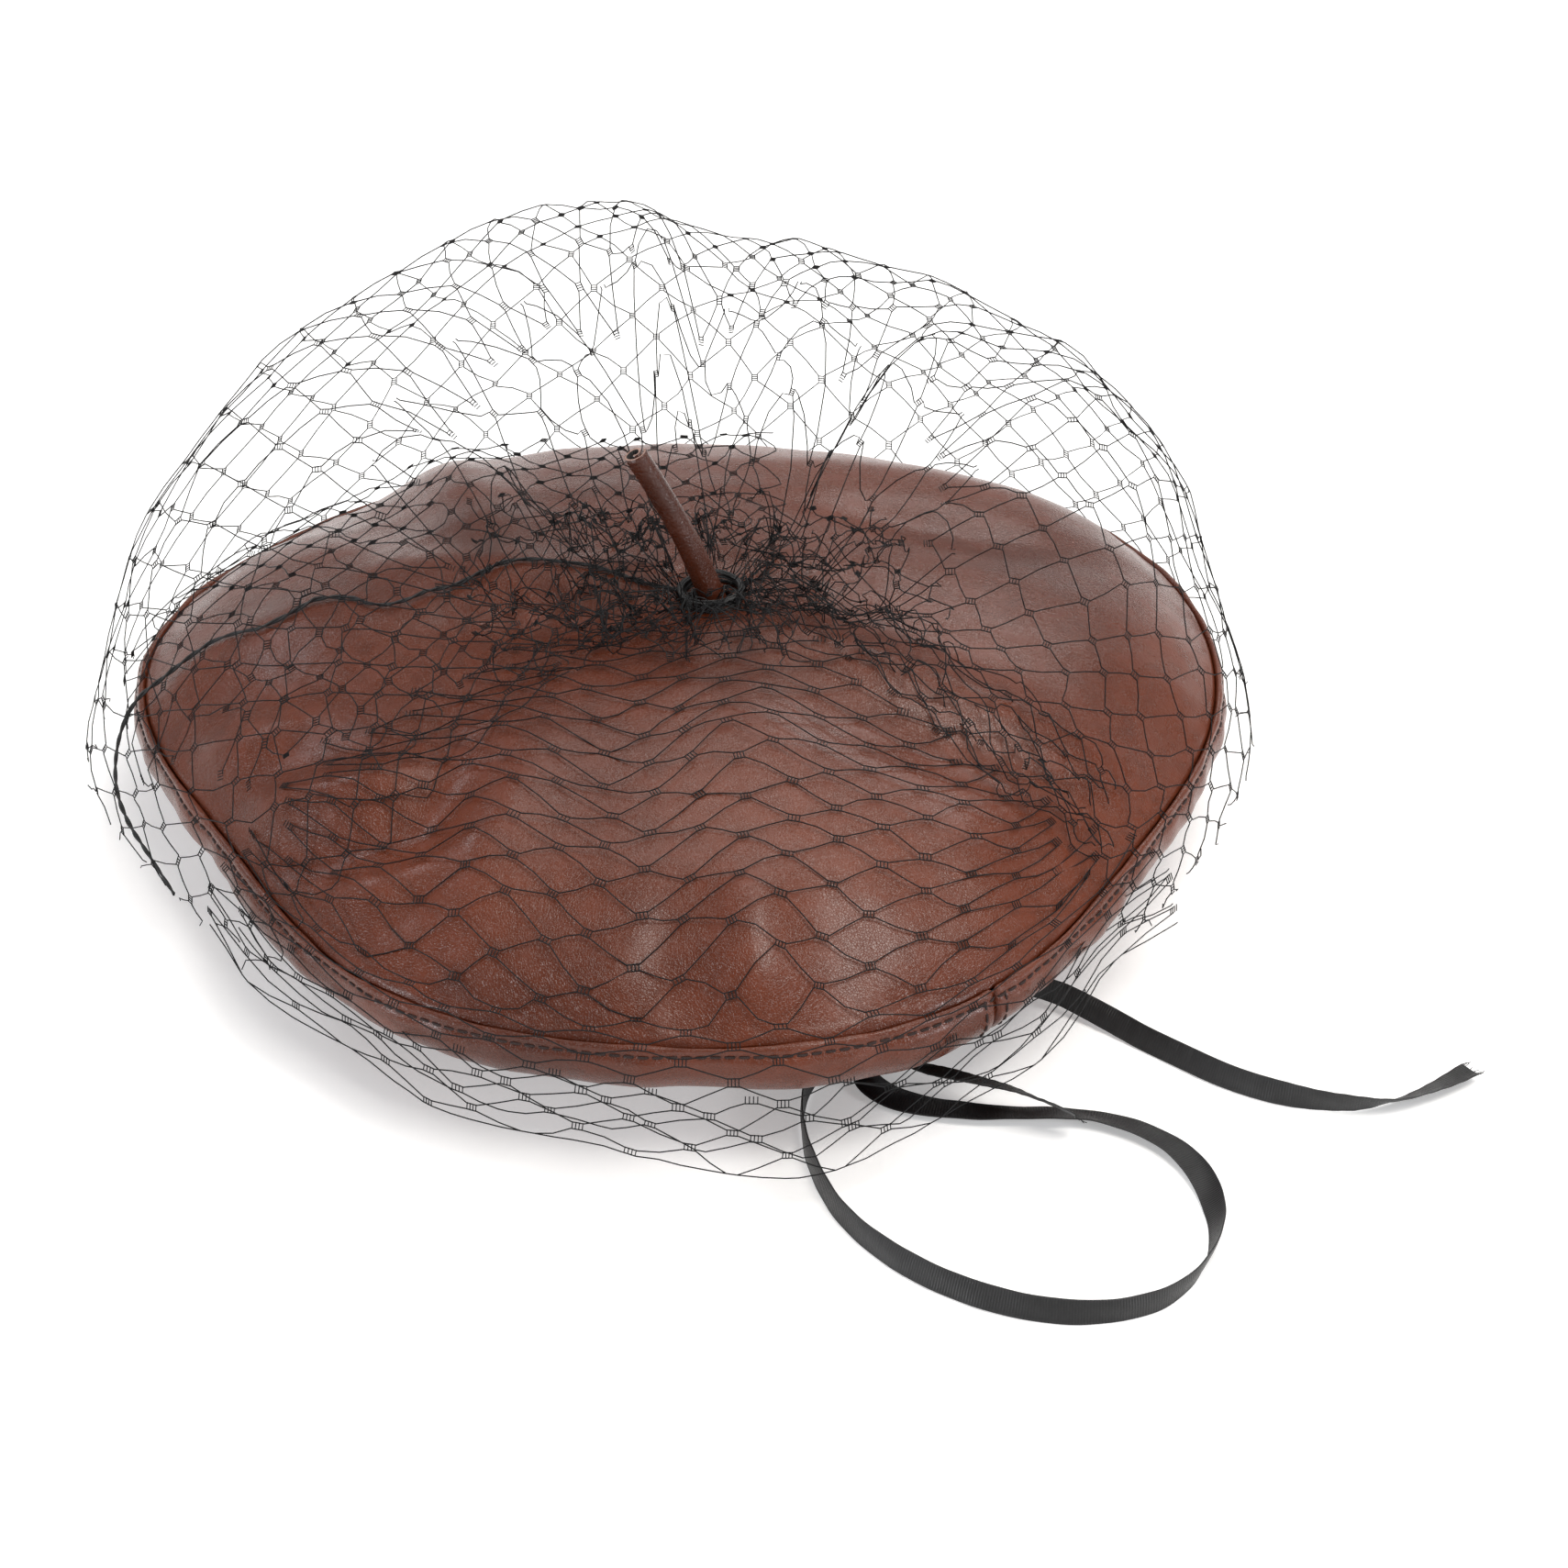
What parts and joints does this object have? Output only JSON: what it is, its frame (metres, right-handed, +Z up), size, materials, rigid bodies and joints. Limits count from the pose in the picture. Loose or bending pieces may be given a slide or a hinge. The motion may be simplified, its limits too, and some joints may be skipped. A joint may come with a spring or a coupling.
{
  "type": "beret with net veil",
  "caption": "Soft round faux-leather beret with a rolled stem, a wide diamond-mesh net veil gathered round the stem, and an adjusting ribbon tied at the headband.",
  "frame": {"origin": "centre of the head opening, on the surface that the beret lies on", "axes": "+Z up out of the crown along the stem's root, -Y towards the front of the veil, +X to the right seen from the front"},
  "size_m": [0.3498, 0.341, 0.1361],
  "materials": {
    "leather": "semi-gloss faux leather, fine pebble grain",
    "brown_thread": "spun polyester",
    "lining": "satin-weave lining",
    "sweatband": "ribbed band",
    "interlining": "stiff woven",
    "ribbon": "satin ribbon",
    "net": "knotted thread net",
    "black_thread": "twisted thread"
  },
  "bodies": {
    "beret": {"crown_panel": "leather", "underside_panel_right": "leather", "underside_panel_left": "leather", "headband": "leather", "rim_seam_allowance": "leather", "side_seam_back": "leather", "side_seam_front": "leather", "stem_anchor": "leather", "rim_topstitch": "brown_thread", "crown_lining": "lining", "underside_lining": "lining", "sweatband": "sweatband", "headband_interlining": "interlining", "ribbon_in_band": "ribbon", "ribbon_knot": "ribbon", "ribbon_loop": "ribbon", "ribbon_tail_short": "ribbon", "ribbon_tail_long": "ribbon", "veil_back": "net", "veil_gather": "net", "gather_binding": "black_thread", "gather_thread": "black_thread"},
    "stem": {"stem": "leather"},
    "veil_front": {"veil_front": "net"}
  },
  "joints": [
    {"name": "veil_front_lift", "type": "hinge", "parent": "beret", "child": "veil_front", "pos_m": [0, -0.024, 0.077], "axis": [-1, 0, 0], "range_deg": [0, 60]},
    {"name": "stem_flex", "type": "hinge", "parent": "beret", "child": "stem", "pos_m": [0, 0, 0.071], "axis": [0, 1, 0], "range_deg": [-15, 15], "stiffness_Nm_per_rad": 0.02}
  ]
}
